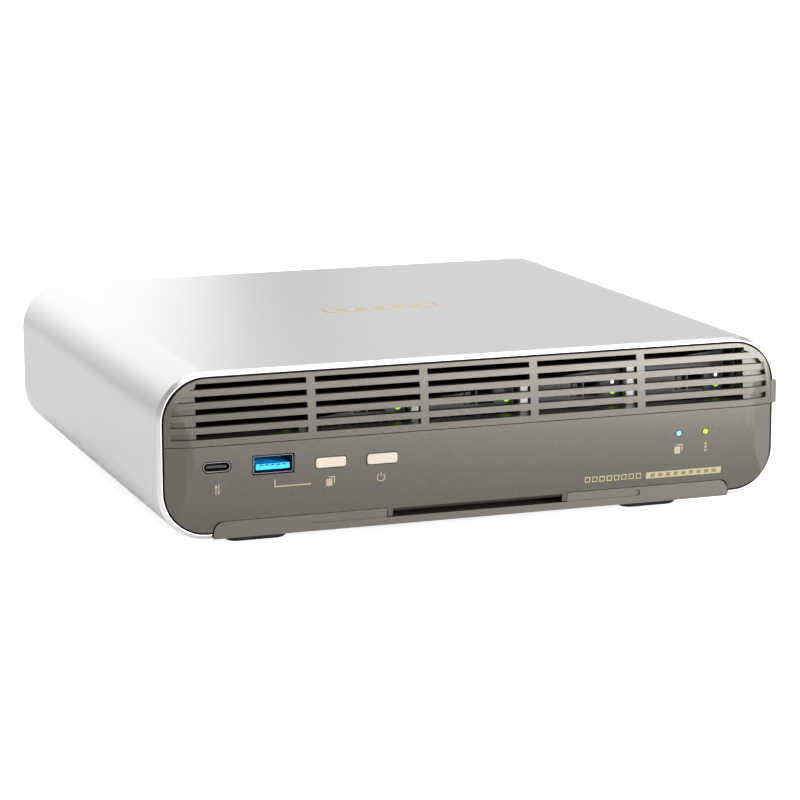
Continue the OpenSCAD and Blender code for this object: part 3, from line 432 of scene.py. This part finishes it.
LINE = 0.34
sheets = (block_shape(-1.45, -1.6, 0.65, 0.85) + block_shape(-0.6, 1.25, 1.45, 1.25 + LINE)
          + block_shape(1.45 - LINE, -0.8, 1.45, 1.25))
power = arc_shape(1.1, LINE, 125, 415) + block_shape(-LINE / 2, 0.35, LINE / 2, 1.6)
arrows = (block_shape(-0.62, -1.6, -0.32, 0.8) + [[(-0.95, 0.7), (0.01, 0.7), (-0.47, 1.7)]]
          + block_shape(0.32, -0.8, 0.62, 1.6) + [[(-0.01, -0.7), (0.95, -0.7), (0.47, -1.7)]])
status = [outline for i in range(3) for outline in block_shape(-0.35, 1.15 * i - 1.5, 0.35, 1.15 * i - 0.8)]
bracket = block_shape(-69.92, 21.7, -57.74, 22.1) + block_shape(-69.92, 22.1, -69.5, 24.2)
icons = (moved(arrows, -88.69, 22.35) + bracket + moved(sheets, -51.15, 22.24) + moved(power, -34.08, 22.19)
         + moved(sheets, 70.72, 23.71) + moved(status, 80.6, 23.71))
printed("front_icons", "front_fascia", icons, on_fascia, gold_ink)

# A row of small outlined tiles, then a gilt plate with a row of dark bars
TILE, TILE_STEP, TILE_LINE = 1.9, 2.62, 0.3
tiles = [outline for i in range(8)
         for outline in moved(outline_shape(0, 0, TILE, TILE, TILE_LINE), 37.3 + TILE_STEP * i, 14.5)]
printed("front_tiles", "front_fascia", tiles, on_fascia, gilt_ink)
printed("badge_plate", "front_fascia", block_shape(59.4, 14.15, 86.8, 16.35), on_fascia, gilt_ink, 0.04)
bars = [outline for i in range(9) for outline in block_shape(61 + 2.8 * i, 14.65, 62.6 + 2.8 * i, 15.85)]
printed("badge_bars", "front_fascia", bars, on_fascia, dark_ink, 0.06)

# On top of the shell: five upright bars in a frame, for the five bays
inlay = outline_shape(-20.3, -2.8, 22.4, 6.1, 1.25)
inlay += [outline for i in range(5) for outline in block_shape(-15.4 + 7.0 * i, -0.2, -11.4 + 7.0 * i, 3.5)]
printed("top_inlay", "outer_shell", inlay, on_roof, gilt)

# CAD nodes whose shape stays
kept = {
    "front_io_boards": solder_mask, "mainboard": solder_mask, "backplane_board": solder_mask,
    "tact_switches": epoxy_package, "drive_connectors": black_lcp,
    "socket_tongues": black_lcp, "mainboard_parts": epoxy_package, "cold_plate": copper,
    "cpu_heatsink": extruded_aluminium, "blower_housings": fan_pbt, "blower_leads": black_lcp,
    "impeller_left": fan_pbt, "impeller_right": fan_pbt, "coin_cell": cell_steel,
    "standoffs": turned_brass, "reset_button": screw_nickel, "cover_magnets": screw_nickel,
    "front_ribbon": ribbon_pvc, "light_pipe_copy": blue_smoke, "light_pipe_status": green_smoke,
}
kept.update({f"tray_lights_{n}": green_smoke for n in bays})
for node, material in kept.items():
    data = frame["nodes"][node].data
    data.materials.clear()
    data.materials.append(material)


# ---------------------------------------------------------------- small repeated details

def disc(name, node, x, y, z, radius_mm, material):
    """A round lens that faces the front, 0.1 mm thick."""
    form = bmesh.new()
    facing = Matrix.Translation(Vector((x, y, z))) @ Matrix.Rotation(pi / 2, 4, "X")
    bmesh.ops.create_cone(form, cap_ends=True, segments=32, radius1=radius_mm * MM, radius2=radius_mm * MM,
                          depth=0.1 * MM, matrix=facing)
    return own(mesh_piece(name, form), node, material)


# Radii of the two tray lights' guides, and how much further back the upper one stands, in mm
LOW_LENS, HIGH_LENS, LENS_SET_BACK = 1.3, 0.85, 0.25
for node, glow in (("light_pipe_copy", lit_blue), ("light_pipe_status", lit_green)):
    low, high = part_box(node)
    disc(node + "_core", node, (low.x + high.x) / 2, low.y, high.z - (high.x - low.x) / 2, 0.8, glow)
for n in bays:
    low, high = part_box(f"tray_lights_{n}")
    middle = (low.x + high.x) / 2
    disc(f"activity_core_{n}", f"tray_lights_{n}", middle, low.y, low.z + LOW_LENS * MM, 1.1, lit_green)
    if n > 3:
        disc(f"status_core_{n}", f"tray_lights_{n}", middle, low.y + LENS_SET_BACK * MM,
             high.z - HIGH_LENS * MM, 0.6, lit_white)
    # fine upright ribs on the lower left of a tray's plate
    low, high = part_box(f"tray_{n}")
    plate_y = low.y + 1.3 * MM
    ribs = {"Count": 26, "Start": Vector((low.x + 0.9 * MM, plate_y, low.z + 3.5 * MM)),
            "Step": Vector((0.6, 0, 0)) * MM, "Block": Vector((0.3, 0.3, 5.6)) * MM}
    own(grow(f"tray_ribs_{n}", ribs, row_of_blocks, tray_abs_painted_lighter), f"tray_{n}", None)

# Contacts: name, CAD node, material, count, then start, step and block size in mm
contacts = (
    ("usb_a_contacts", "usb_a_tongue", black_lcp, 5, (-74.0, -99.4, 28.95), (1.9, 0, 0), (1.1, 0.16, 0.4)),
    ("usb_a_windows", "usb_a_tongue", black_lcp, 4, (-74.5, -88.2, 30.5), (2.87, 0, 0), (1.5, 0.2, 1.5)),
    ("usb_c_contacts", "socket_tongues", gold_flash, 12,
     (-91.55, -98.0, 30.05), (0.5, 0, 0), (0.25, 2.4, 0.06)),
    ("jack_contacts_left", "socket_tongues", gold_flash, 8,
     (-43.57, 89.6, 24.5), (1.02, 0, 0), (0.35, 7.0, 0.3)),
    ("jack_contacts_right", "socket_tongues", gold_flash, 8,
     (-23.57, 89.6, 24.5), (1.02, 0, 0), (0.35, 7.0, 0.3)),
)
for name, node, material, count, start, step, block in contacts:
    sizes = {"Count": count, "Start": Vector(start) * MM, "Step": Vector(step) * MM,
             "Block": Vector(block) * MM}
    own(grow(name, sizes, row_of_blocks, material), node, None)
